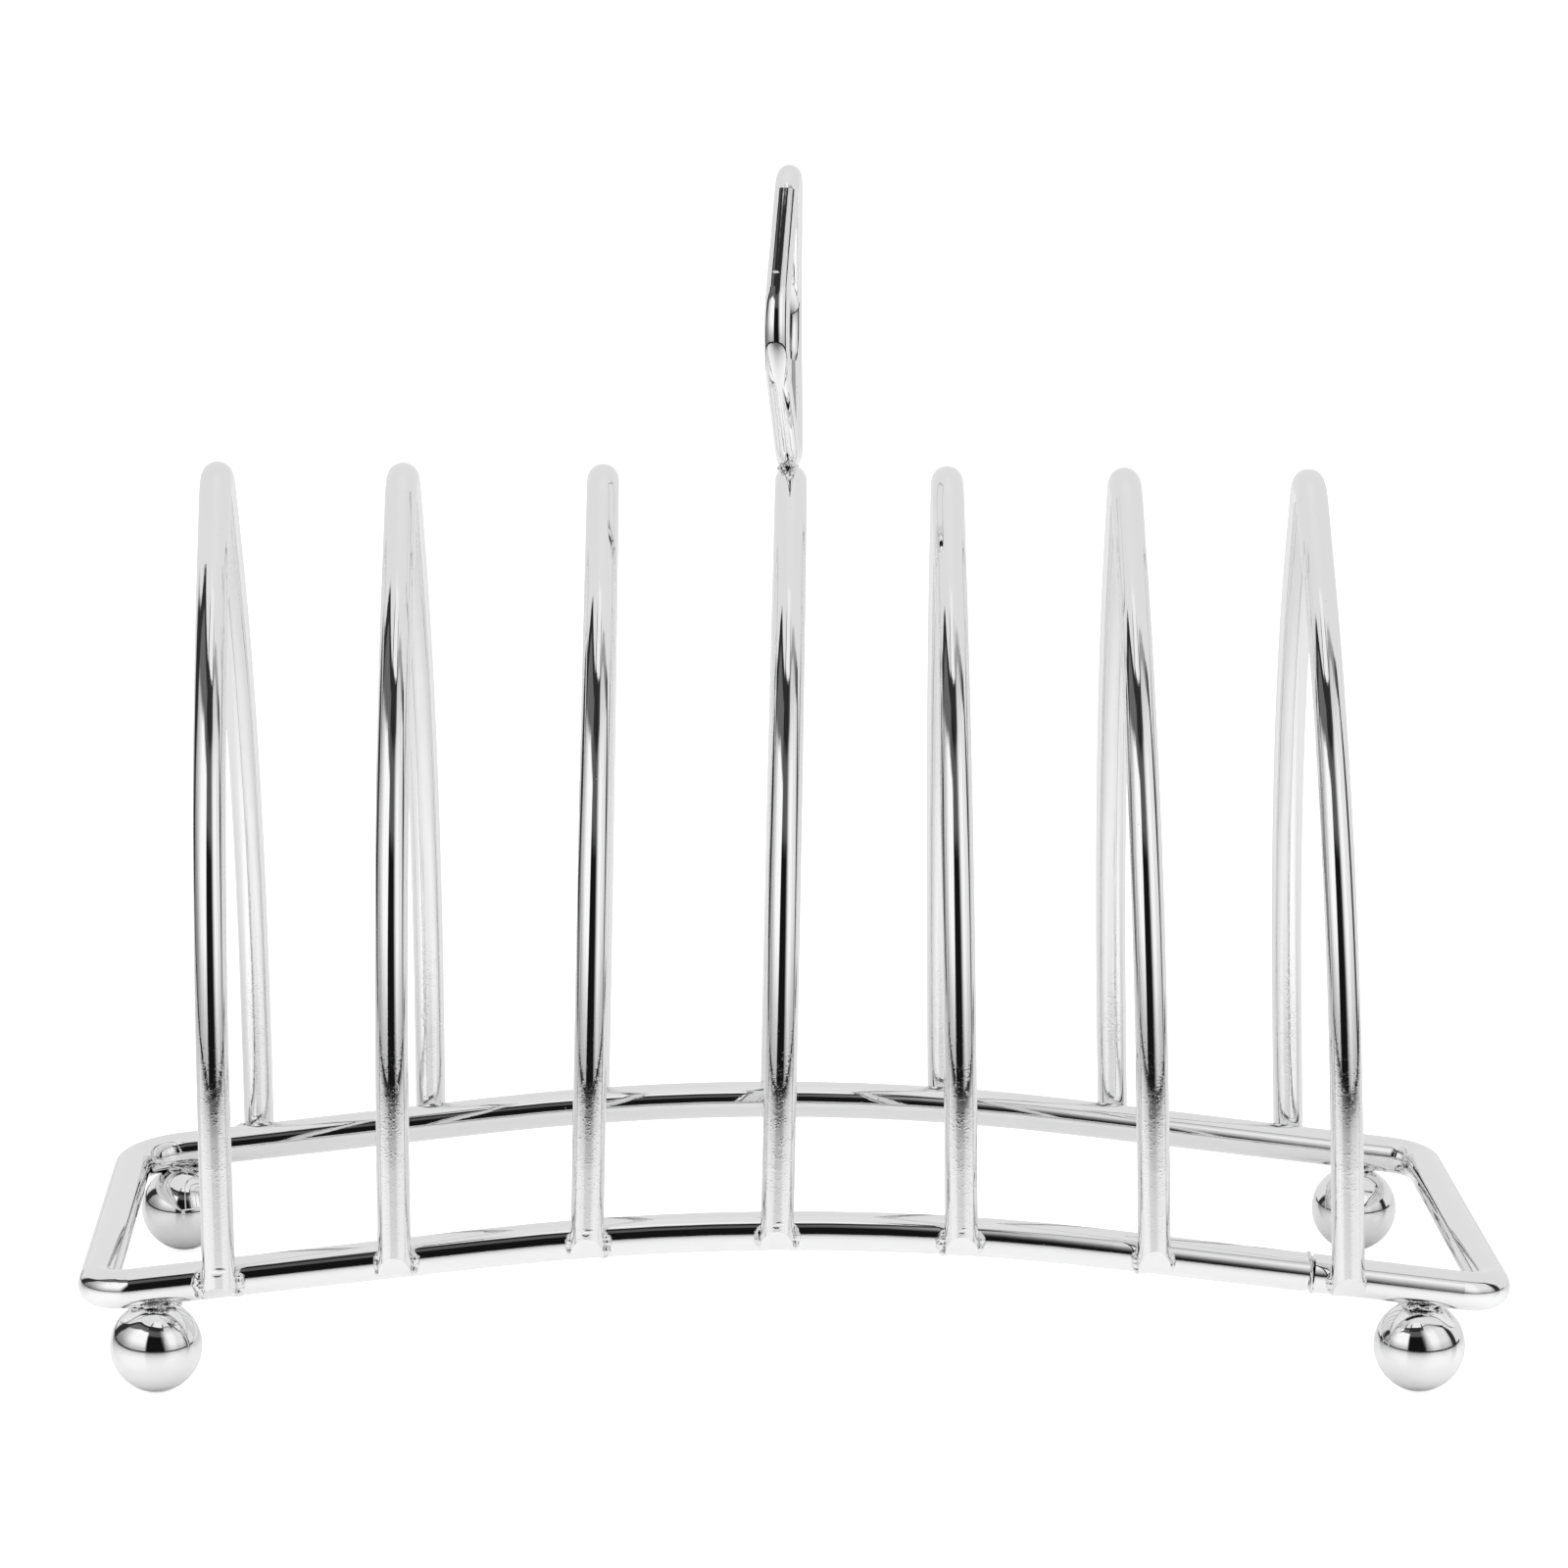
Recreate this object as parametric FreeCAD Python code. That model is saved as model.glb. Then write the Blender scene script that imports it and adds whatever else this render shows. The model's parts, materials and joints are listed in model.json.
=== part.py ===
import FreeCAD, Part
import math
import os

# Toast rack in chromed steel wire. One loop of thicker wire is the base. Seven pointed arches of thinner
# wire stand across it as dividers, each welded by its two legs to the outside of the front and back rails.
# Four balls are welded under the rails as feet, and a small loop of wire on the middle divider is the handle.
#
# Millimetres. +X runs along the rack, +Y from front to back, +Z up. The origin is on the surface that the
# rack stands on, under the middle of the base loop.

# Wire gauges
FRAME_WIRE = 5.0
DIVIDER_WIRE = 4.2
HANDLE_WIRE = 3.2

# Base loop, measured to the middle of the wire
FRAME_LENGTH = 179.4
FRAME_DEPTH = 69.0
RAIL_CROWN_Z = 21.3          # top of the arched front and back rails
RAIL_SLOPE = 6.8             # degrees that the straight ends of those rails fall towards the corners
RAIL_CROWN_RUN = 80.0        # length of the curved stretch in the middle of each
CORNER_RADIUS = 4.5
BACK_LEFT_CORNER_RADIUS = 7.0
BUTT_WELD_X = 65.6           # where the two ends of the wire meet, on the front rail
BUTT_WELD_LENGTH = 0.7
BUTT_WELD_DIAMETER = 5.3

# Dividers. Each was welded on by eye, so its place, its lean and its skew differ a little from its
# neighbours'. Lean turns the top towards +X, and skew moves the back leg towards +X.
DIVIDER_X = (-73.2, -50.1, -26.6, -1.9, 21.8, 46.1, 70.9)
DIVIDER_LEAN = (-1.4, -0.8, 0.7, 0.6, -1.3, -1.9, -2.25)
DIVIDER_SKEW = (0.6, 1.9, 0.8, 1.7, 1.7, 1.2, 1.2)
DIVIDER_TOP_Z = 113.0        # middle of the wire at the top of the arch
DIVIDER_SPRING_Z = 31.0      # where the upright leg starts to curve inward
DIVIDER_SIDE_RADIUS = 108.0
DIVIDER_SLANT = 41.4         # degrees from upright of the short straight run beside the top
LEAN_PIVOT_Z = 14.4
WELD_SINK = 0.2              # how far the leg sinks into the rail as it is welded
LEG_OVERHANG = 1.2           # how far the leg goes below the middle of the rail
BEVEL_HEIGHT = (1.6, 2.8, 2.8, 2.8, 2.8, 3.4, 2.8)

# Handle: a diamond with rounded corners, its foot on the middle divider
HANDLE_DIVIDER = 4
HANDLE_TOP_Z = 152.6         # middle of the wire at the top
HANDLE_ELBOW_Z = 132.9       # height of the two side corners that the loop is drawn from
HANDLE_SLANT = 27.0          # degrees from upright of the two upper sides
HANDLE_APEX_RADIUS = 3.2
HANDLE_FOOT_RADIUS = 4.0
HANDLE_ELBOW_RADIUS = 12.0
HANDLE_FRONT_BOW = -2.85     # how far the front elbow is bent out of line, along X
HANDLE_BACK_BOW = 0.0
HANDLE_TOP_LEAN = -0.6
HANDLE_SINK = 0.3

# Feet
FOOT_DIAMETER = 11.8
FOOT_PLACES = {
    "front_left": (-82.0, -34.2),
    "front_right": (80.2, -33.4),
    "back_left": (-83.0, 33.4),
    "back_right": (80.6, 34.2),
}

# Weld beads: half-sizes along X, Y and Z of the blob that each is trimmed from
LEG_WELD = (3.3, 1.5, 2.3)
FOOT_WELD = (3.3, 2.9, 0.9)
HANDLE_WELD = (1.7, 3.2, 1.6)

SLOPE = math.radians(RAIL_SLOPE)
RAIL_RADIUS = RAIL_CROWN_RUN / 2 / math.sin(SLOPE)
RAIL_PEAK_Z = RAIL_CROWN_Z + RAIL_RADIUS * (1 / math.cos(SLOPE) - 1)
RAIL_END_Z = RAIL_PEAK_Z - FRAME_LENGTH / 2 * math.tan(SLOPE)
DIVIDER_HALF_WIDTH = FRAME_DEPTH / 2 + FRAME_WIRE / 2 + DIVIDER_WIRE / 2 - WELD_SINK


def rail_z(x):
    """Height of the middle of the front and back rails at x."""
    x = abs(x)
    if x < RAIL_CROWN_RUN / 2:
        return RAIL_CROWN_Z - RAIL_RADIUS + math.sqrt(RAIL_RADIUS ** 2 - x ** 2)
    return RAIL_PEAK_Z - x * math.tan(SLOPE)


def rounded_path(corners, radii, closed=False):
    """Straight runs between corners, joined by tangent arcs. An end of an open path has a radius of 0."""
    count = len(corners)
    entries = []
    for i, (corner, radius) in enumerate(zip(corners, radii)):
        if radius == 0:
            entries.append((corner, corner, corner))
            continue
        to_last = (corners[i - 1] - corner).normalize()
        to_next = (corners[(i + 1) % count] - corner).normalize()
        half_angle = to_last.getAngle(to_next) / 2
        reach = radius / math.tan(half_angle)
        bisector = (to_last + to_next).normalize()
        middle = corner + bisector * (radius / math.sin(half_angle) - radius)
        entries.append((corner + to_last * reach, middle, corner + to_next * reach))
    edges = []
    for i, (start, middle, end) in enumerate(entries):
        if radii[i] > 0:
            edges.append(Part.Arc(start, middle, end).toShape())
        if closed or i + 1 < count:
            edges.append(Part.makeLine(end, entries[(i + 1) % count][0]))
    return edges


def rod(edges, diameter):
    """Round wire along a smooth path: a cylinder for each straight run and part of a torus for each arc."""
    pieces = []
    for edge in edges:
        start = edge.valueAt(edge.FirstParameter)
        along = edge.tangentAt(edge.FirstParameter)
        section = Part.Face(Part.Wire(Part.makeCircle(diameter / 2, start, along)))
        if isinstance(edge.Curve, Part.Line):
            pieces.append(section.extrude(edge.valueAt(edge.LastParameter) - start))
        else:
            centre = edge.Curve.Center
            turn_axis = (start - centre).cross(along)
            turn = math.degrees(edge.Length / edge.Curve.Radius)
            pieces.append(section.revolve(centre, turn_axis, turn))
    return pieces[0].multiFuse(pieces[1:]).removeSplitter().Solids[0]


def blob(half_sizes, centre):
    """Ellipsoid with the given half-sizes."""
    stretch = FreeCAD.Matrix()
    stretch.scale(*half_sizes)
    shape = Part.makeSphere(1.0).transformGeometry(stretch)
    shape.translate(centre)
    return shape


def trimmed(shape, *neighbours):
    """The largest solid left of a shape when its neighbours are cut away."""
    for neighbour in neighbours:
        shape = shape.cut(neighbour)
    return max(shape.Solids, key=lambda solid: solid.Volume)


def base_frame():
    """The base loop, from one end of the wire round to the other."""
    x = FRAME_LENGTH / 2
    y = FRAME_DEPTH / 2
    first_x = BUTT_WELD_X + BUTT_WELD_LENGTH / 2
    last_x = BUTT_WELD_X - BUTT_WELD_LENGTH / 2
    corners = [
        FreeCAD.Vector(first_x, -y, rail_z(first_x)),
        FreeCAD.Vector(x, -y, RAIL_END_Z),
        FreeCAD.Vector(x, y, RAIL_END_Z),
        FreeCAD.Vector(0, y, RAIL_PEAK_Z),
        FreeCAD.Vector(-x, y, RAIL_END_Z),
        FreeCAD.Vector(-x, -y, RAIL_END_Z),
        FreeCAD.Vector(0, -y, RAIL_PEAK_Z),
        FreeCAD.Vector(last_x, -y, rail_z(last_x)),
    ]
    right = [CORNER_RADIUS, CORNER_RADIUS]
    left = [BACK_LEFT_CORNER_RADIUS, CORNER_RADIUS]
    radii = [0] + right + [RAIL_RADIUS] + left + [RAIL_RADIUS, 0]
    return rod(rounded_path(corners, radii), FRAME_WIRE)


def butt_weld():
    """The disc of weld between the two ends of the base wire, a little proud of it."""
    along = FreeCAD.Vector(math.cos(SLOPE), 0, -math.sin(SLOPE))
    middle = FreeCAD.Vector(BUTT_WELD_X, -FRAME_DEPTH / 2, rail_z(BUTT_WELD_X))
    length = BUTT_WELD_LENGTH / math.cos(SLOPE)
    return Part.makeCylinder(BUTT_WELD_DIAMETER / 2, length, middle - along * (length / 2), along)


def divider_placement(index):
    """Turns a divider from the plane x = 0 to its own lean, skew and place."""
    pivot = FreeCAD.Vector(0, 0, LEAN_PIVOT_Z)
    lean = FreeCAD.Rotation(FreeCAD.Vector(0, 1, 0), DIVIDER_LEAN[index])
    skew = FreeCAD.Rotation(FreeCAD.Vector(0, 0, 1), -DIVIDER_SKEW[index])
    return FreeCAD.Placement(FreeCAD.Vector(DIVIDER_X[index], 0, 0), skew * lean, pivot)


def divider_path(foot_z):
    """Pointed arch in the plane x = 0: upright legs, long side curves, short straights and a tight top."""
    slant = math.radians(DIVIDER_SLANT)
    shoulder_z = DIVIDER_SPRING_Z + DIVIDER_SIDE_RADIUS * math.tan(slant / 2)
    apex_z = shoulder_z + DIVIDER_HALF_WIDTH / math.tan(slant)
    apex_radius = (apex_z - DIVIDER_TOP_Z) / (1 / math.sin(slant) - 1)
    corners = [
        FreeCAD.Vector(0, -DIVIDER_HALF_WIDTH, foot_z),
        FreeCAD.Vector(0, -DIVIDER_HALF_WIDTH, shoulder_z),
        FreeCAD.Vector(0, 0, apex_z),
        FreeCAD.Vector(0, DIVIDER_HALF_WIDTH, shoulder_z),
        FreeCAD.Vector(0, DIVIDER_HALF_WIDTH, foot_z),
    ]
    return rounded_path(corners, [0, DIVIDER_SIDE_RADIUS, apex_radius, DIVIDER_SIDE_RADIUS, 0])


def bevel_cutter(sign, foot_z, height):
    """Wedge that shears the outer half of a leg's end to a slant."""
    inner = sign * DIVIDER_HALF_WIDTH
    outer = inner + sign * DIVIDER_WIRE
    rise = height * 2
    points = [
        FreeCAD.Vector(-DIVIDER_WIRE, inner, foot_z),
        FreeCAD.Vector(-DIVIDER_WIRE, outer, foot_z + rise),
        FreeCAD.Vector(-DIVIDER_WIRE, outer, foot_z - rise),
        FreeCAD.Vector(-DIVIDER_WIRE, inner, foot_z - rise),
    ]
    outline = Part.makePolygon(points + points[:1])
    return Part.Face(outline).extrude(FreeCAD.Vector(2 * DIVIDER_WIRE, 0, 0))


def divider(index, frame):
    """One divider, its legs sheared off and set against the rails."""
    foot_z = rail_z(DIVIDER_X[index]) - LEG_OVERHANG
    arch = rod(divider_path(foot_z), DIVIDER_WIRE)
    for sign in (-1, 1):
        arch = arch.cut(bevel_cutter(sign, foot_z, BEVEL_HEIGHT[index]))
    arch = arch.transformed(divider_placement(index).toMatrix(), True)
    return trimmed(arch, frame)


def leg_weld(index, sign, frame, arch):
    """The ring of weld round the place where a leg meets its rail."""
    contact = FreeCAD.Vector(0, sign * (FRAME_DEPTH + FRAME_WIRE) / 2, rail_z(DIVIDER_X[index]))
    centre = divider_placement(index).multVec(contact)
    return trimmed(blob(LEG_WELD, centre), frame, arch)


def foot(place, frame):
    """A ball under the rail, trimmed where it is pressed against the wire."""
    x, y = place
    ball = Part.makeSphere(FOOT_DIAMETER / 2, FreeCAD.Vector(x, y, FOOT_DIAMETER / 2))
    return trimmed(ball, frame)


def foot_weld(place, frame, ball):
    """The collar of weld between a ball and the rail."""
    x, y = place
    rail_y = math.copysign(FRAME_DEPTH / 2, y)
    contact_z = (rail_z(x) - FRAME_WIRE / 2 + FOOT_DIAMETER) / 2
    centre = FreeCAD.Vector(x, (y + rail_y) / 2, contact_z)
    return trimmed(blob(FOOT_WELD, centre), frame, ball)


def handle_foot():
    """Middle of the handle's wire where it stands on the middle divider."""
    foot_z = DIVIDER_TOP_Z + (DIVIDER_WIRE + HANDLE_WIRE) / 2 - HANDLE_SINK
    return divider_placement(HANDLE_DIVIDER - 1).multVec(FreeCAD.Vector(0, 0, foot_z))


def handle(arch):
    """Closed loop of wire: foot, front elbow, top, back elbow."""
    foot_point = handle_foot()
    slant = math.radians(HANDLE_SLANT)
    apex_z = HANDLE_TOP_Z + HANDLE_APEX_RADIUS * (1 / math.sin(slant) - 1)
    elbow_y = (apex_z - HANDLE_ELBOW_Z) * math.tan(slant)
    # The sharp corner under the rounded foot stands below it by an amount that depends on the slant of the
    # lower sides, which depends on the corner.
    foot_drop = 0
    for _ in range(20):
        lower_slant = math.atan2(elbow_y, HANDLE_ELBOW_Z - foot_point.z + foot_drop)
        foot_drop = HANDLE_FOOT_RADIUS * (1 / math.sin(lower_slant) - 1)
    corners = [
        foot_point + FreeCAD.Vector(0, 0, -foot_drop),
        FreeCAD.Vector(foot_point.x + HANDLE_FRONT_BOW, -elbow_y, HANDLE_ELBOW_Z),
        FreeCAD.Vector(foot_point.x + HANDLE_TOP_LEAN, 0, apex_z),
        FreeCAD.Vector(foot_point.x + HANDLE_BACK_BOW, elbow_y, HANDLE_ELBOW_Z),
    ]
    radii = [HANDLE_FOOT_RADIUS, HANDLE_ELBOW_RADIUS, HANDLE_APEX_RADIUS, HANDLE_ELBOW_RADIUS]
    return trimmed(rod(rounded_path(corners, radii, closed=True), HANDLE_WIRE), arch)


def handle_weld(loop, arch):
    """The blob of weld at the handle's foot."""
    centre = handle_foot() + FreeCAD.Vector(0, 0, -HANDLE_WIRE / 2)
    return trimmed(blob(HANDLE_WELD, centre), loop, arch)


def build():
    """Every node of the rack, by name."""
    frame = base_frame()
    nodes = {"base_frame": frame, "base_butt_weld": butt_weld()}
    for index in range(len(DIVIDER_X)):
        name = f"divider_{index + 1}"
        nodes[name] = divider(index, frame)
        nodes[f"{name}_weld_front"] = leg_weld(index, -1, frame, nodes[name])
        nodes[f"{name}_weld_back"] = leg_weld(index, 1, frame, nodes[name])
    for corner, place in FOOT_PLACES.items():
        ball = foot(place, frame)
        nodes[f"foot_{corner}"] = ball
        nodes[f"foot_{corner}_weld"] = foot_weld(place, frame, ball)
    middle_divider = nodes[f"divider_{HANDLE_DIVIDER}"]
    nodes["handle"] = handle(middle_divider)
    nodes["handle_weld"] = handle_weld(nodes["handle"], middle_divider)
    return nodes


os.makedirs("parts", exist_ok=True)
for name, shape in build().items():
    shape.exportStep(f"parts/{name}.step")
    box = shape.BoundBox
    low = f"({box.XMin:.2f}, {box.YMin:.2f}, {box.ZMin:.2f})"
    high = f"({box.XMax:.2f}, {box.YMax:.2f}, {box.ZMax:.2f})"
    print(f"{name:24s} valid={shape.isValid()} volume={shape.Volume:9.2f} from {low} to {high}")
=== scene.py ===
import json
import math
import random

import bmesh
import bpy
import numpy as np
from mathutils import Matrix, Vector


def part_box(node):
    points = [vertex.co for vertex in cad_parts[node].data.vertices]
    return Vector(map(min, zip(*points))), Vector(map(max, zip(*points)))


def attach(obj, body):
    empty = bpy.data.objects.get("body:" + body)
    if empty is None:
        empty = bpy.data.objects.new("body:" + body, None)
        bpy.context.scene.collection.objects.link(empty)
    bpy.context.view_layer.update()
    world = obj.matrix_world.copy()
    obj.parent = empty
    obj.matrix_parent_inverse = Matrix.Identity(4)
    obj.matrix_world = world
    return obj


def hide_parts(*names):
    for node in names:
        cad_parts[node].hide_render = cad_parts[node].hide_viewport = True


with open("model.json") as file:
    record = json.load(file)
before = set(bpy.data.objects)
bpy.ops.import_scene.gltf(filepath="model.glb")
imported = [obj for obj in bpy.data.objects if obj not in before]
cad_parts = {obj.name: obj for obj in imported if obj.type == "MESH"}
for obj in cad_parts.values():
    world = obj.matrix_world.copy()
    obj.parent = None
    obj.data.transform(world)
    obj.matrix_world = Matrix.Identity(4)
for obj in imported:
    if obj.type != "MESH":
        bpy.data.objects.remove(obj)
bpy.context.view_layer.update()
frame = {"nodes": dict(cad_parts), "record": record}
MM = 0.001
BODY = "root"

# ---------------------------------------------------------------- camera
CAMERA_PLACE = (-28.342, -746.411, 216.879)      # millimetres
CAMERA_TURN = 2.072          # degrees to the right of straight along +Y
CAMERA_PITCH = -10.924       # degrees up from level
CAMERA_ROLL = 0.656          # degrees anticlockwise, seen from behind the camera
CAMERA_LENS = 132.43
CAMERA_SENSOR = 36.0
CAMERA_CLIP = (0.05, 50.0)   # metres


def add(name, data):
    """Links a new object holding this data into the scene."""
    obj = bpy.data.objects.new(name, data)
    bpy.context.scene.collection.objects.link(obj)
    return obj


def make_camera():
    cam = bpy.data.cameras.new("camera")
    cam.lens = CAMERA_LENS
    cam.sensor_width = CAMERA_SENSOR
    cam.clip_start, cam.clip_end = CAMERA_CLIP
    obj = add("camera", cam)
    turn = Matrix.Rotation(math.radians(-CAMERA_TURN), 4, "Z")
    pitch = Matrix.Rotation(math.radians(90.0 + CAMERA_PITCH), 4, "X")
    roll = Matrix.Rotation(math.radians(CAMERA_ROLL), 4, "Z")
    obj.matrix_world = Matrix.Translation(Vector(CAMERA_PLACE) * MM) @ turn @ pitch @ roll
    bpy.context.scene.camera = obj


# ---------------------------------------------------------------- studio
# A white floor and background, lit evenly. The chrome mirrors a dome that nothing else sees: a pale tent
# with an open front, and in the opening a soft panel on each side of a dark gap. Lengths here are in
# metres, and directions in degrees of azimuth (0 is the front, + is towards +X) and elevation.
WORLD_LIGHT = 1.30
FLOOR_REACH = 6.0            # from the middle to each edge
FLOOR_GREY = 0.6
FLOOR_GLOW = 0.75
FLOOR_DROP = -0.00005        # of the seen floor, so that it never meets light off the mirrored one
FLOOR_IOR = 1.5
# Y of the two ends of each painted shade in the mirrored floor's colour (darker in front, and a little
# under the rack), and its whiteness there
FLOOR_FRONT_PAINTED_SHADE = (-0.45, -0.03, 0.20, 0.96)
FLOOR_UNDER_PAINTED_SHADE = (-0.03, 0.01, 1.0, 0.78)
DOME_RADIUS = 0.60
DOME_ACROSS = 720
DOME_UP = 360

# Brightness of the parts of the dome
TENT = 0.83
DIM = 0.15                   # in the opening, round the panels
DARK = 0.008                 # in the gap between the panels
EDGE = 0.03                  # along the edge of the opening and beside the strip
STRIP = 0.97
SILL = 0.02
# Points on the edge of the opening, from left to right
OPENING = (
    (-124, 0), (-110, 18), (-97, 30), (-84, 45), (-76, 51), (-40, 54),
    (0, 58.5), (38, 60), (52, 56), (80, 37), (85, 18), (89, 0),
)
SILL_RADIUS = 0.55
SILL_HEIGHT = 0.015
SILL_SPAN = (-150, 108)
SILL_POINTS = 181


def smooth(low, high, value):
    """0 below low, 1 above high, and an S-curve between."""
    t = np.clip((value - low) / (high - low), 0.0, 1.0)
    return t * t * (3.0 - 2.0 * t)


def window(value, low, high, soft):
    """1 between low and high, falling to 0 over soft outside them."""
    return smooth(low - soft, low, value) * (1.0 - smooth(high, high + soft, value))


def mixed(base, layer, mask):
    return base * (1.0 - mask) + layer * mask


def distance_to_outline(azimuth, elevation, points):
    """Degrees from each direction to the nearest point of an outline."""
    squeeze = np.cos(np.radians(elevation))          # a degree of azimuth is shorter higher up
    nearest = np.full(azimuth.shape, 360.0)
    for (az_a, el_a), (az_b, el_b) in zip(points, points[1:]):
        across, rise = (az_b - az_a) * squeeze, el_b - el_a
        off_across, off_rise = (azimuth - az_a) * squeeze, elevation - el_a
        along = (off_across * across + off_rise * rise) / (across ** 2 + rise ** 2)
        along = np.clip(along, 0.0, 1.0)
        distance = np.hypot(off_across - along * across, off_rise - along * rise)
        nearest = np.minimum(nearest, distance)
    return nearest


def opening_mask(azimuth, elevation):
    """1 in the opening of the tent, and 0 outside it."""
    roof = np.interp(azimuth, [az for az, _ in OPENING], [el for _, el in OPENING])
    mask = smooth(-0.6, 0.6, roof - elevation)
    return mask * window(azimuth, OPENING[0][0], OPENING[-1][0], 1.0)


def left_panel(azimuth, elevation):
    """Brightness and mask of the left panel, which fades towards its far side and its foot."""
    light = 1.10 - 0.60 * smooth(58.0, 98.0, -azimuth)
    light = light * (0.46 + 0.54 * smooth(0.0, 21.0, elevation))
    top = 42.5 - 0.35 * np.clip(-azimuth - 55.0, 0.0, None)
    mask = smooth(25.5, 32.0, -azimuth) * (1.0 - smooth(top - 2.0, top + 1.5, elevation))
    return light, mask


def right_panel(azimuth, elevation):
    """The same for the right panel. Its near edge leans inwards and is soft."""
    light = 1.06 - 0.18 * smooth(44.0, 54.0, azimuth) - 0.38 * smooth(70.0, 84.0, azimuth)
    light = light * (0.60 + 0.40 * smooth(-2.0, 20.0, elevation))
    light = light * (1.0 - 0.35 * smooth(38.0, 56.0, elevation))
    return light, smooth(13.0, 40.0, azimuth + 0.25 * elevation)


def edge_mask(azimuth, elevation):
    """The dark edge of the opening: broad at the sides, and faint at the top on the right."""
    at_side = smooth(60.0, 88.0, np.abs(azimuth)) * (1.0 - smooth(18.0, 36.0, elevation))
    distance = distance_to_outline(azimuth, elevation, OPENING) / (1.0 + 2.0 * at_side)
    faint = 0.55 * smooth(2.0, 25.0, azimuth) * (1.0 - smooth(55.0, 78.0, azimuth))
    return (1.0 - faint) * (1.0 - smooth(1.4, 3.0, distance))


def studio_radiance(direction):
    """Brightness of the dome in each direction, from the tent at the back to the strip in front."""
    x, y, z = direction
    azimuth = np.degrees(np.arctan2(x, -y))
    elevation = np.degrees(np.arcsin(np.clip(z, -1.0, 1.0)))
    light = TENT * (1.0 + 0.05 * smooth(60.0, 90.0, elevation))

    inside = opening_mask(azimuth, elevation)
    light = mixed(light, DIM, inside)
    gap = DARK + 0.10 * window(elevation, 38.0, 46.0, 5.0)
    light = mixed(light, gap, inside * window(azimuth, -34.0, 16.0, 2.0))
    for panel, mask in (left_panel(azimuth, elevation), right_panel(azimuth, elevation)):
        light = mixed(light, panel, inside * mask)
    light = mixed(light, EDGE, edge_mask(azimuth, elevation))

    # A lit strip over the gap, in a dark frame.
    frame_sides = window(elevation, 52.0, 65.0, 4.0) * window(azimuth, -33.0, 18.0, 3.0)
    light = mixed(light, EDGE, 0.9 * frame_sides)
    strip = window(elevation, 59.2, 71.3, 1.0) * window(azimuth, -27.0, 13.0, 3.0)
    return mixed(light, STRIP, strip)


def hide_from(obj, *rays):
    """Makes an object invisible to these kinds of ray."""
    for ray in rays:
        setattr(obj, "visible_" + ray, False)


def glow_material(name, strength=0.0, attribute=None):
    """A material that only shines, with one strength or with that of a mesh attribute."""
    mat = bpy.data.materials.new(name)
    mat.use_nodes = True
    nodes, links = mat.node_tree.nodes, mat.node_tree.links
    nodes.clear()
    out = nodes.new("ShaderNodeOutputMaterial")
    emit = nodes.new("ShaderNodeEmission")
    emit.inputs["Strength"].default_value = strength
    if attribute is not None:
        read = nodes.new("ShaderNodeAttribute")
        read.attribute_name = attribute
        links.new(read.outputs["Fac"], emit.inputs["Strength"])
    links.new(emit.outputs["Emission"], out.inputs["Surface"])
    mat.cycles.emission_sampling = "NONE"
    return mat


def make_mirrored_only(name, mesh, material):
    """Part of the studio that is seen only as a reflection."""
    mesh.materials.append(material)
    obj = add(name, mesh)
    hide_from(obj, "camera", "diffuse", "shadow", "transmission", "volume_scatter")


def make_dome():
    azimuths = np.linspace(-math.pi, math.pi, DOME_ACROSS + 1)[:-1]
    elevations = np.linspace(-0.5 * math.pi, 0.5 * math.pi, DOME_UP + 1)
    azimuth, elevation = np.meshgrid(azimuths, elevations)
    direction = np.stack([
        np.sin(azimuth) * np.cos(elevation),
        -np.cos(azimuth) * np.cos(elevation),
        np.sin(elevation),
    ]).reshape(3, -1)
    row = np.arange(DOME_UP)[:, None] * DOME_ACROSS
    column = np.arange(DOME_ACROSS)[None, :]
    following = (column + 1) % DOME_ACROSS
    corners = [row + column, row + DOME_ACROSS + column, row + DOME_ACROSS + following, row + following]
    quads = np.stack(corners, -1).reshape(-1, 4)
    mesh = bpy.data.meshes.new("studio_dome")
    mesh.from_pydata((direction.T * DOME_RADIUS).tolist(), [], quads.tolist())
    glow = mesh.attributes.new("radiance", "FLOAT", "POINT")
    glow.data.foreach_set("value", studio_radiance(direction).astype(np.float32))
    make_mirrored_only("studio_dome", mesh, glow_material("studio_dome", attribute="radiance"))


def make_sill():
    """The low dark edge where the floor ends, in front and to the sides."""
    low, high = (math.radians(angle) for angle in SILL_SPAN)
    turns = np.linspace(low, high, SILL_POINTS)
    foot = [(SILL_RADIUS * math.sin(t), -SILL_RADIUS * math.cos(t), 0.0) for t in turns]
    top = [(x, y, SILL_HEIGHT) for x, y, _ in foot]
    count = len(foot)
    quads = [(i, i + 1, count + i + 1, count + i) for i in range(count - 1)]
    mesh = bpy.data.meshes.new("studio_sill")
    mesh.from_pydata(foot + top, [], quads)
    make_mirrored_only("studio_sill", mesh, glow_material("studio_sill", SILL))


def floor_mesh(name, z):
    """A large level square at this height."""
    mesh = bpy.data.meshes.new(name)
    corners = [(x * FLOOR_REACH, y * FLOOR_REACH, z) for x, y in ((-1, -1), (1, -1), (1, 1), (-1, 1))]
    mesh.from_pydata(corners, [], [(0, 1, 2, 3)])
    return mesh


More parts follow.
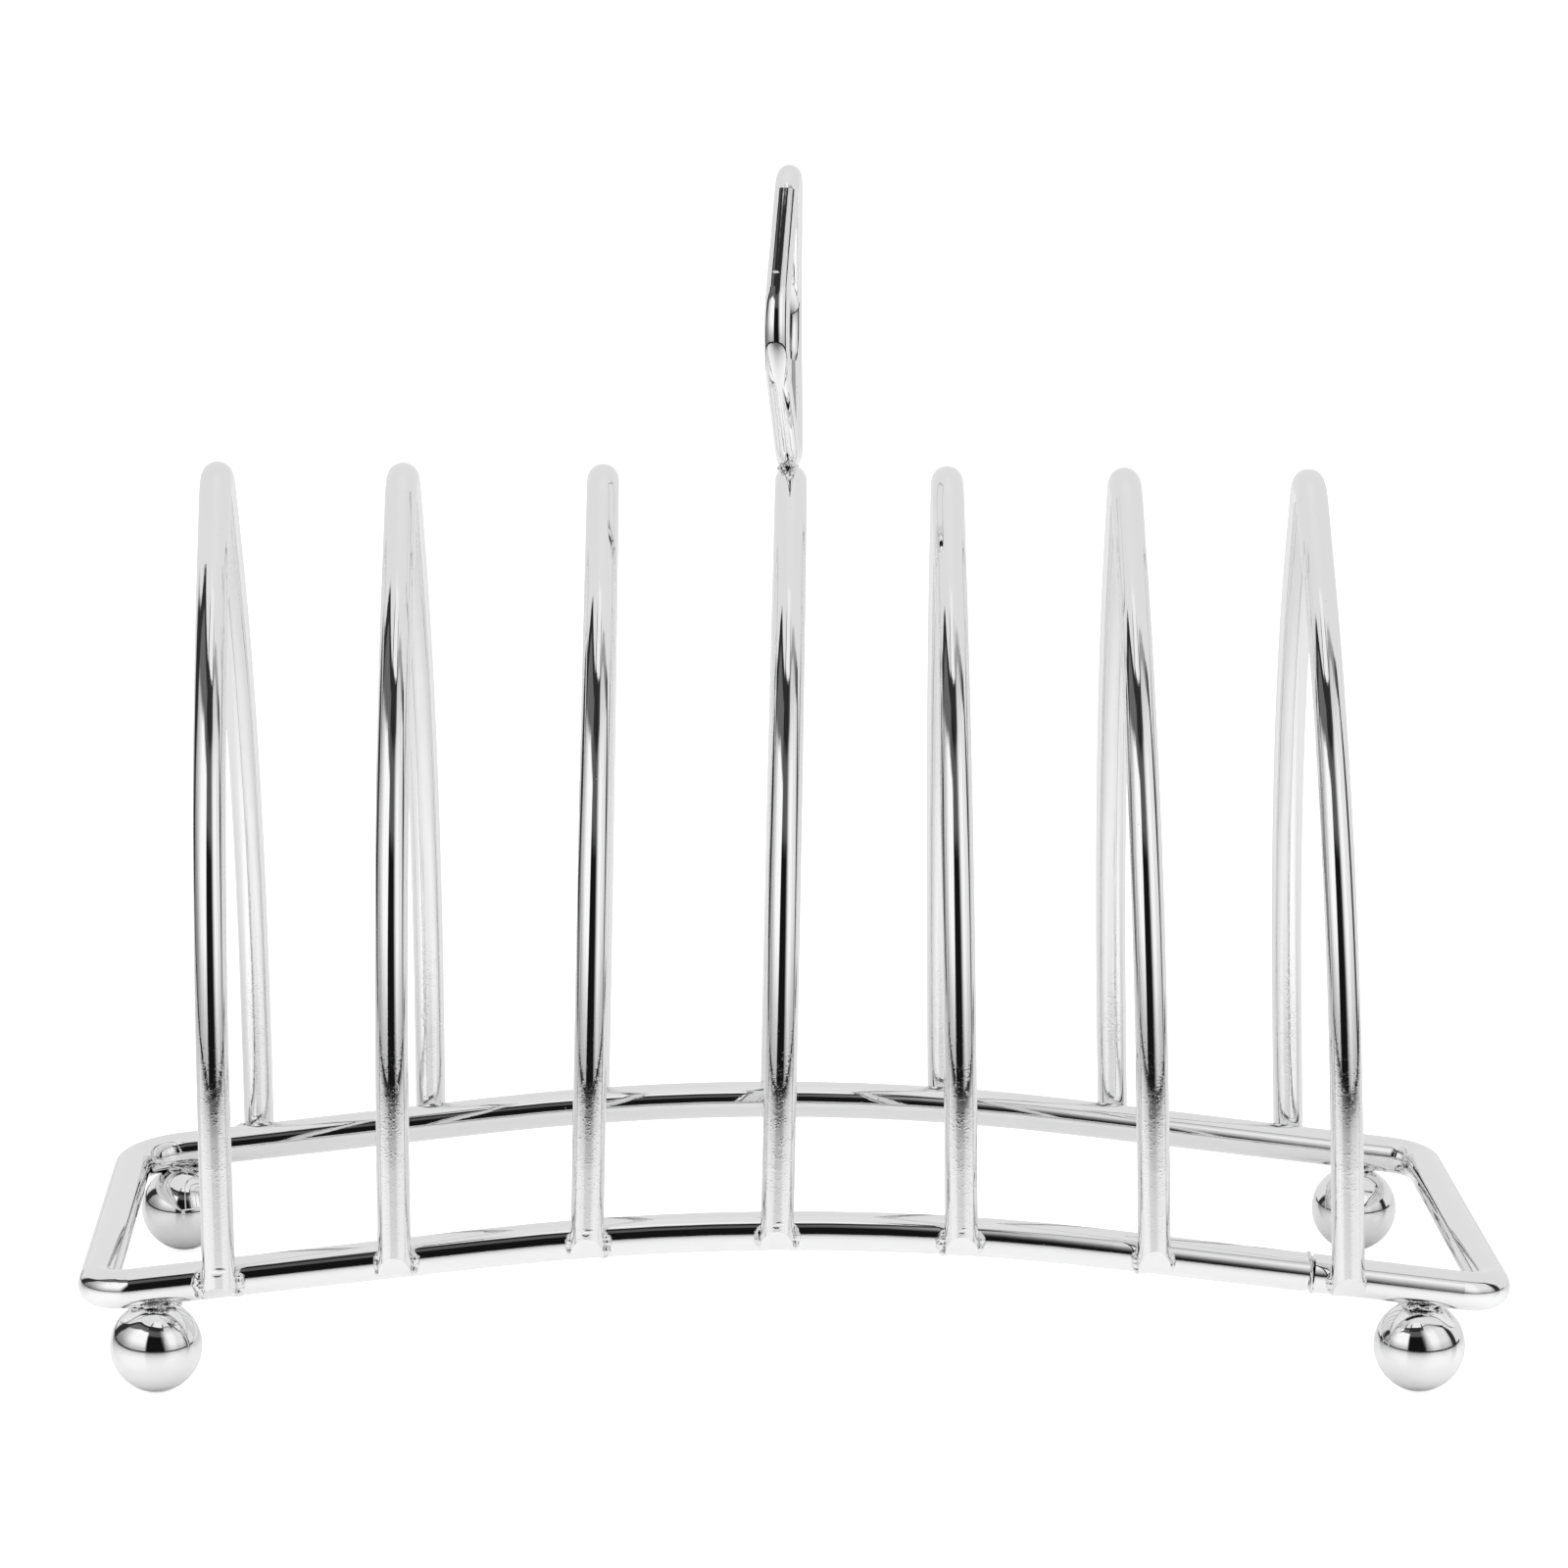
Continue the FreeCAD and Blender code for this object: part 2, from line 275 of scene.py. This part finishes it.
def make_floor():
    """The floor that is seen directly: matt white, lit so softly that shade hardly shows on it."""
    mesh = floor_mesh("studio_floor", FLOOR_DROP)
    mat = bpy.data.materials.new("studio_floor")
    mat.use_nodes = True
    bsdf = mat.node_tree.nodes["Principled BSDF"]
    bsdf.inputs["Base Color"].default_value = (FLOOR_GREY, FLOOR_GREY, FLOOR_GREY, 1.0)
    bsdf.inputs["Roughness"].default_value = 0.9
    bsdf.inputs["Specular IOR Level"].default_value = 0.0
    bsdf.inputs["Emission Color"].default_value = (1.0, 1.0, 1.0, 1.0)
    bsdf.inputs["Emission Strength"].default_value = FLOOR_GLOW
    mat.cycles.emission_sampling = "NONE"
    mesh.materials.append(mat)
    floor = add("studio_floor", mesh)
    hide_from(floor, "glossy")


def make_mirrored_floor():
    """The floor that the chrome mirrors: glossy, with shade painted into its colour, darker in front and
    a little under the rack.
    """
    mat = bpy.data.materials.new("studio_floor_mirrored")
    mat.use_nodes = True
    nodes, links = mat.node_tree.nodes, mat.node_tree.links
    nodes.clear()
    out = nodes.new("ShaderNodeOutputMaterial")
    blend = nodes.new("ShaderNodeMixShader")
    fresnel = nodes.new("ShaderNodeFresnel")
    fresnel.inputs["IOR"].default_value = FLOOR_IOR
    matt = nodes.new("ShaderNodeBsdfDiffuse")
    gloss = nodes.new("ShaderNodeBsdfGlossy")
    gloss.inputs["Roughness"].default_value = 0.01
    place = nodes.new("ShaderNodeTexCoord")
    split = nodes.new("ShaderNodeSeparateXYZ")
    # Painted shade: the floor's colour darkens towards the front and a little under the rack.
    painted_front_shade = nodes.new("ShaderNodeMapRange")
    under = nodes.new("ShaderNodeMapRange")
    for node, values in ((painted_front_shade, FLOOR_FRONT_PAINTED_SHADE), (under, FLOOR_UNDER_PAINTED_SHADE)):
        for socket, value in zip(node.inputs[1:5], values):
            socket.default_value = value
        links.new(split.outputs["Y"], node.inputs[0])
    tone = nodes.new("ShaderNodeMath")
    tone.operation = "MULTIPLY"
    links.new(place.outputs["Object"], split.inputs[0])
    links.new(painted_front_shade.outputs["Result"], tone.inputs[0])
    links.new(under.outputs["Result"], tone.inputs[1])
    links.new(tone.outputs[0], matt.inputs["Color"])
    links.new(fresnel.outputs[0], blend.inputs[0])
    links.new(matt.outputs[0], blend.inputs[1])
    links.new(gloss.outputs[0], blend.inputs[2])
    links.new(blend.outputs[0], out.inputs["Surface"])
    make_mirrored_only("studio_floor_mirrored", floor_mesh("studio_floor_mirrored", 0.0), mat)


def make_studio():
    world = bpy.data.worlds.new("studio")
    bpy.context.scene.world = world
    world.use_nodes = True
    back = world.node_tree.nodes["Background"]
    back.inputs["Color"].default_value = (1.0, 1.0, 1.0, 1.0)
    back.inputs["Strength"].default_value = WORLD_LIGHT
    bpy.context.scene.view_settings.view_transform = "Standard"
    make_dome()
    make_sill()
    make_floor()
    make_mirrored_floor()


# ---------------------------------------------------------------- chrome
SCALE_INPUT = 3              # of a Vector Math node, which hides it by name from most operations


class Finish:
    """A chrome material whose surface detail is added up as a height, in millimetres."""

    def __init__(self, name, color, roughness):
        self.mat = bpy.data.materials.new(name)
        self.mat.use_nodes = True
        self.tree = self.mat.node_tree
        self.bsdf = self.tree.nodes["Principled BSDF"]
        self.bsdf.inputs["Metallic"].default_value = 1.0
        self.color = color
        self.roughness = roughness
        place = self.node("ShaderNodeTexCoord").outputs["Object"]
        self.place = self.vector("SCALE", place, scale=1.0 / MM)
        self.height = None
        self.rough = None

    def node(self, kind, **settings):
        made = self.tree.nodes.new(kind)
        for key, value in settings.items():
            setattr(made, key, value)
        return made

    def feed(self, socket, value):
        if isinstance(value, bpy.types.NodeSocket):
            self.tree.links.new(value, socket)
        elif value is not None:
            socket.default_value = value

    def math(self, operation, *values):
        made = self.node("ShaderNodeMath", operation=operation)
        for socket, value in zip(made.inputs, values):
            self.feed(socket, value)
        return made.outputs[0]

    def vector(self, operation, first, second=None, scale=None):
        made = self.node("ShaderNodeVectorMath", operation=operation)
        self.feed(made.inputs[0], first)
        self.feed(made.inputs[1], second)
        self.feed(made.inputs[SCALE_INPUT], scale)
        return made.outputs["Value" if operation in ("LENGTH", "DISTANCE") else "Vector"]

    def ramp(self, value, low, high, to_low=0.0, to_high=1.0):
        made = self.node("ShaderNodeMapRange", interpolation_type="SMOOTHSTEP")
        for socket, given in zip(made.inputs, (value, low, high, to_low, to_high)):
            self.feed(socket, given)
        return made.outputs["Result"]

    def stretched(self, factors):
        return self.vector("MULTIPLY", self.place, factors)

    def noise(self, per_mm, detail=1.0, place=None, seed=0.0):
        made = self.node("ShaderNodeTexNoise", noise_dimensions="4D")
        self.feed(made.inputs["Vector"], place or self.place)
        self.feed(made.inputs["W"], seed)
        self.feed(made.inputs["Scale"], per_mm)
        self.feed(made.inputs["Detail"], detail)
        return made.outputs["Fac"]

    def raise_by(self, amount, height, mask=None):
        """Adds a height of amount mm times the input, kept to where the mask is."""
        layer = self.math("MULTIPLY", height, amount)
        if mask is not None:
            layer = self.math("MULTIPLY", layer, mask)
        self.height = layer if self.height is None else self.math("ADD", self.height, layer)

    def roughen(self, amount, mask):
        layer = self.math("MULTIPLY", mask, amount)
        self.rough = layer if self.rough is None else self.math("ADD", self.rough, layer)

    def pits(self, per_mm, share, width, depth, mask=None):
        """Round pits in a share of the cells of a Voronoi pattern, kept to where the mask is."""
        cells = self.node("ShaderNodeTexVoronoi")
        self.feed(cells.inputs["Vector"], self.place)
        self.feed(cells.inputs["Scale"], per_mm)
        chosen = self.node("ShaderNodeSeparateColor")
        self.feed(chosen.inputs[0], cells.outputs["Color"])
        present = self.math("LESS_THAN", chosen.outputs[0], share)
        if mask is not None:
            present = self.math("MULTIPLY", present, mask)
        size = self.ramp(chosen.outputs[1], 0.0, 1.0, 0.5 * width * per_mm, width * per_mm)
        near = self.math("DIVIDE", cells.outputs["Distance"], size)
        hollow = self.ramp(near, 0.35, 1.0, -1.0, 0.0)
        self.raise_by(depth, hollow, present)

    def scar(self, centre, half_sizes, depth):
        """A dent (or with a negative depth a bump) in an ellipsoid round a point."""
        off = self.vector("SUBTRACT", self.place, centre)
        off = self.vector("DIVIDE", off, half_sizes)
        reach = self.vector("LENGTH", off)
        ragged = self.math("ADD", reach, self.math("MULTIPLY", self.noise(3.0, seed=7.0), 0.5))
        self.raise_by(-depth, self.ramp(ragged, 0.6, 1.3, 1.0, 0.0))

    def done(self):
        """Joins the height, roughness and colour to the shader."""
        bump = self.node("ShaderNodeBump")
        bump.inputs["Strength"].default_value = 1.0
        bump.inputs["Distance"].default_value = MM
        self.feed(bump.inputs["Height"], self.height)
        self.feed(self.bsdf.inputs["Normal"], bump.outputs["Normal"])
        smear = self.ramp(self.noise(0.35, 3.0, seed=3.0), 0.45, 0.75, 0.0, 0.03)
        rough = self.math("ADD", smear, self.roughness)
        if self.rough is not None:
            rough = self.math("ADD", rough, self.rough)
        self.feed(self.bsdf.inputs["Roughness"], rough)
        tone = self.node("ShaderNodeMix", data_type="RGBA")
        self.feed(tone.inputs["Factor"], self.noise(0.08, 2.0, seed=5.0))
        darker = [part * 0.965 for part in self.color]
        self.feed(tone.inputs["A"], (*darker, 1.0))
        self.feed(tone.inputs["B"], (*self.color, 1.0))
        self.feed(self.bsdf.inputs["Base Color"], tone.outputs["Result"])
        return self.mat


# Colours
CHROME = (0.875, 0.875, 0.877)
WELD_CHROME = (0.80, 0.80, 0.80)

# The front legs with a crumpled spot just above the weld, and how big it is
SCARRED_LEGS = ((1, 1.6), (3, 1.0), (4, 0.9), (5, 0.7))
HANDLE_NICK = (-3.4, -9.0, 141.3)                # its middle
# Heights between which the speckle low on the dividers fades, upwards and then downwards
SPECKLE_TOP = (30.0, 56.0)
SPECKLE_FOOT = (19.0, 33.0)


def plated(name, color=CHROME, roughness=0.015):
    """What every plated wire shares: long shallow waves, orange peel and a fine ripple; each chrome adds
    its own pits.
    """
    finish = Finish(name, color, roughness)
    finish.raise_by(0.030, finish.noise(0.10, seed=1.0))
    finish.raise_by(0.004, finish.noise(0.55, seed=2.0))
    finish.raise_by(0.0006, finish.noise(3.0, seed=4.0))
    return finish


def node_centre(node):
    """Middle of a node's box, in millimetres."""
    low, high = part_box(node)
    return [(a + b) / 2 / MM for a, b in zip(low, high)]


def frame_chrome():
    """Chrome with small pits here and there."""
    finish = plated("chrome_frame")
    finish.pits(0.9, 0.16, 0.14, 0.012)
    return finish.done()


def divider_chrome():
    """Chrome with fine speckle low on the legs, and crumpled spots just above some of the welds."""
    finish = plated("chrome_dividers")
    split = finish.node("ShaderNodeSeparateXYZ")
    finish.feed(split.inputs[0], finish.place)
    height = split.outputs["Z"]
    low = finish.ramp(height, *SPECKLE_TOP, 1.0, 0.0)
    blotch = finish.ramp(finish.noise(0.7, 2.0, seed=8.0), 0.35, 0.62)
    sprayed = finish.math("MULTIPLY", low, blotch)
    sprayed = finish.math("MULTIPLY", sprayed, finish.ramp(height, *SPECKLE_FOOT, 0.25, 1.0))
    finish.raise_by(0.003, finish.noise(5.0, 1.0, seed=6.0), sprayed)
    finish.pits(3.2, 0.6, 0.28, -0.010, sprayed)
    finish.roughen(0.05, low)
    finish.pits(0.8, 0.10, 0.14, 0.012)
    for index, size in SCARRED_LEGS:
        x, _, z = node_centre(f"divider_{index}_weld_front")
        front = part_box(f"divider_{index}")[0][1] / MM
        finish.scar((x - 0.2, front, z + 2.3), (0.55 * size, 0.8, 0.30 * size), 0.03)
        finish.scar((x + 0.2, front, z + 2.7), (0.60 * size, 0.8, 0.25 * size), -0.03)
    return finish.done()


def handle_chrome():
    """Chrome with fine scratches along the wire, and one nick."""
    finish = plated("chrome_handle")
    finish.raise_by(0.004, finish.noise(1.0, 2.0, finish.stretched((5.0, 0.6, 0.25)), 6.0))
    finish.pits(0.9, 0.12, 0.15, 0.012)
    finish.scar(HANDLE_NICK, (0.5, 0.9, 0.17), 0.06)
    return finish.done()


def foot_chrome():
    """The smoothest of the chromes, with a few small pits."""
    finish = Finish("chrome_feet", CHROME, 0.012)
    finish.raise_by(0.004, finish.noise(0.25, seed=1.0))
    finish.raise_by(0.0008, finish.noise(1.2, seed=2.0))
    finish.pits(0.7, 0.07, 0.12, 0.008)
    return finish.done()


def weld_chrome():
    """Chrome over rough, pitted weld metal."""
    finish = Finish("chrome_weld", WELD_CHROME, 0.05)
    finish.raise_by(0.10, finish.noise(1.6, 3.0, seed=1.0))
    finish.raise_by(0.02, finish.noise(5.0, 2.0, seed=2.0))
    finish.pits(1.5, 0.3, 0.2, 0.05)
    return finish.done()


# ---------------------------------------------------------------- weld beads
# Lengths are in millimetres, as in the functions below
BEAD_VOXEL = 0.12
BUTT_VOXEL = 0.1
SMOOTHING_STEPS = 4
LEG_RADIUS = 2.1
LUMPS_PER_MM = 3.2           # up the side of a leg
FILLET_LUMPS = 6
THROAT_LUMPS = 7
COLLAR_LUMPS = 34
COLLAR_REACH = (2.2, 2.9)    # from the middle of the collar to its lumps
COLLAR_DEPTH = 0.86          # its size from front to back, over its width
HANDLE_LUMPS = 26
RING_LUMPS = 44


def lump_mesh(name, lumps, voxel=BEAD_VOXEL):
    """One skin over a heap of lumps, each a centre and half-sizes in millimetres."""
    heap = bmesh.new()
    for centre, half_sizes in lumps:
        made = bmesh.ops.create_icosphere(heap, subdivisions=2, radius=1.0)
        bmesh.ops.scale(heap, vec=[h * MM for h in half_sizes], verts=made["verts"])
        bmesh.ops.translate(heap, vec=[c * MM for c in centre], verts=made["verts"])
    mesh = bpy.data.meshes.new(name)
    heap.to_mesh(mesh)
    heap.free()
    heap_object = add(name, mesh)
    remesh = heap_object.modifiers.new("skin", "REMESH")
    remesh.mode = "VOXEL"
    remesh.voxel_size = voxel * MM
    soften = heap_object.modifiers.new("soften", "SMOOTH")
    soften.iterations = SMOOTHING_STEPS
    depsgraph = bpy.context.evaluated_depsgraph_get()
    skin = bpy.data.meshes.new_from_object(heap_object.evaluated_get(depsgraph))
    heap_object.modifiers.clear()
    heap_object.data = skin
    skin.name = name
    for polygon in skin.polygons:
        polygon.use_smooth = True
    return heap_object


def make_bead(node, lumps, material, voxel=BEAD_VOXEL):
    """The visible bead that stands for a weld node."""
    bead = lump_mesh(node + "_bead", lumps, voxel)
    bead.data.materials.clear()
    bead.data.materials.append(material)
    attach(bead, BODY)
    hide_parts(node)


# Width and height of the bead on the left and right of each front leg, from the left end of the rack
FRONT_BEADS = (
    ((1.9, 3.5), (1.6, 2.8)),
    ((1.0, 3.0), (1.3, 3.0)),
    ((1.1, 2.4), (1.4, 3.2)),
    ((1.1, 2.6), (1.2, 3.0)),
    ((1.5, 3.0), (1.3, 2.5)),
    ((1.0, 3.1), (1.0, 2.4)),
    ((0.9, 2.5), (0.6, 2.2)),
)
BACK_BEADS = (
    ((2.4, 3.0), (2.6, 3.2)),
    ((1.1, 2.6), (1.3, 2.4)),
    ((1.3, 2.4), (1.2, 2.6)),
    ((1.2, 2.8), (1.1, 2.4)),
    ((1.4, 2.6), (1.6, 2.4)),
    ((1.2, 2.4), (1.2, 2.6)),
    ((1.2, 2.2), (1.3, 2.4)),
)


def leg_bead_lumps(rng, centre, outward, sizes):
    """Overlapping lumps up the seam on each side of a leg, and a throat of weld behind it."""
    lumps = []
    for side, (width, height) in zip((-1, 1), sizes):
        count = round(LUMPS_PER_MM * height)
        for i in range(count):
            t = 2 * (i + rng.uniform(0.2, 0.8)) / count - 1
            fat = math.sqrt(1 - 0.8 * t * t)
            reach = 0.52 * width * fat * rng.uniform(0.55, 1.0)
            radius = 0.42 * width * fat + 0.12
            x = centre[0] + side * (LEG_RADIUS - 0.2 + reach)
            y = centre[1] + outward * rng.uniform(0.0, 0.7)
            z = centre[2] + t * height / 2
            deep = radius * rng.uniform(0.9, 1.3)
            tall = radius * rng.uniform(0.55, 1.0)
            lumps.append(((x, y, z), (radius, deep, tall)))
        # The fillet that the lumps sit on.
        for i in range(FILLET_LUMPS):
            t = (2 * i + 1 - FILLET_LUMPS) / FILLET_LUMPS
            x = centre[0] + side * (LEG_RADIUS - 0.15)
            z = centre[2] + t * height / 2
            lumps.append(((x, centre[1] + 0.2 * outward, z), (0.45, 0.75, 0.55)))
    for i in range(THROAT_LUMPS):
        x = centre[0] + (2 * i + 1 - THROAT_LUMPS) / (THROAT_LUMPS - 1) * LEG_RADIUS
        lumps.append(((x, centre[1], centre[2]), (0.5, 0.35, rng.uniform(0.9, 1.5))))
    return lumps


def foot_bead_lumps(rng, centre):
    """A squashed, crinkled collar between a ball and the rail."""
    lumps = []
    for i in range(COLLAR_LUMPS):
        turn = 2 * math.pi * (i + rng.uniform(-0.3, 0.3)) / COLLAR_LUMPS
        reach = rng.uniform(*COLLAR_REACH)
        x = centre[0] + reach * math.cos(turn)
        y = centre[1] + COLLAR_DEPTH * reach * math.sin(turn)
        z = centre[2] + rng.uniform(-0.25, 0.2)
        size = rng.uniform(0.32, 0.55)
        lumps.append(((x, y, z), (size, size, size * rng.uniform(0.45, 0.75))))
    return lumps


def handle_bead_lumps(rng, centre):
    """A rough blob between the foot of the handle and the top of its divider."""
    lumps = []
    for _ in range(HANDLE_LUMPS):
        x = centre[0] + rng.uniform(-1.5, 0.7)
        y = centre[1] + rng.uniform(-2.3, 2.0)
        z = centre[2] + rng.uniform(-0.9, 1.1)
        size = rng.uniform(0.35, 0.65)
        lumps.append(((x, y, z), (size, size, size * rng.uniform(0.7, 1.2))))
    return lumps


def butt_bead_lumps(rng, node):
    """A thin uneven ring round the wire, where its two ends are joined, and the metal inside it."""
    low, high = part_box(node)
    centre = node_centre(node)
    radius = (high[1] - low[1]) / 2 / MM - 0.16
    lumps = [(centre, ((high[0] - low[0]) / 2 / MM, radius, radius))]
    for i in range(RING_LUMPS):
        turn = 2 * math.pi * i / RING_LUMPS
        up = radius * math.sin(turn)
        x = centre[0] - 0.06 * up + rng.uniform(-0.05, 0.05)
        y = centre[1] + radius * math.cos(turn)
        size = rng.uniform(0.17, 0.28)
        lumps.append(((x, y, centre[2] + up), (size, size * 1.2, size * 1.2)))
    return lumps


def make_beads(material):
    for index, (front, back) in enumerate(zip(FRONT_BEADS, BACK_BEADS), start=1):
        for place, outward, sizes in (("front", -1, front), ("back", 1, back)):
            node = f"divider_{index}_weld_{place}"
            rng = random.Random(node)
            centre = node_centre(node)
            make_bead(node, leg_bead_lumps(rng, centre, outward, sizes), material)
    for corner in ("front_left", "front_right", "back_left", "back_right"):
        node = f"foot_{corner}_weld"
        make_bead(node, foot_bead_lumps(random.Random(node), node_centre(node)), material)
    rng = random.Random("handle")
    make_bead("handle_weld", handle_bead_lumps(rng, node_centre("handle_weld")), material)
    rng = random.Random("butt")
    make_bead("base_butt_weld", butt_bead_lumps(rng, "base_butt_weld"), material, BUTT_VOXEL)


make_camera()
make_studio()
FINISHES = {
    "chrome_frame": frame_chrome(),
    "chrome_dividers": divider_chrome(),
    "chrome_handle": handle_chrome(),
    "chrome_feet": foot_chrome(),
    "chrome_weld": weld_chrome(),
}
for part in frame["record"]["subparts"]:
    frame["nodes"][part["node"]].material_slots[0].material = FINISHES[part["material_slot"]]
make_beads(FINISHES["chrome_weld"])
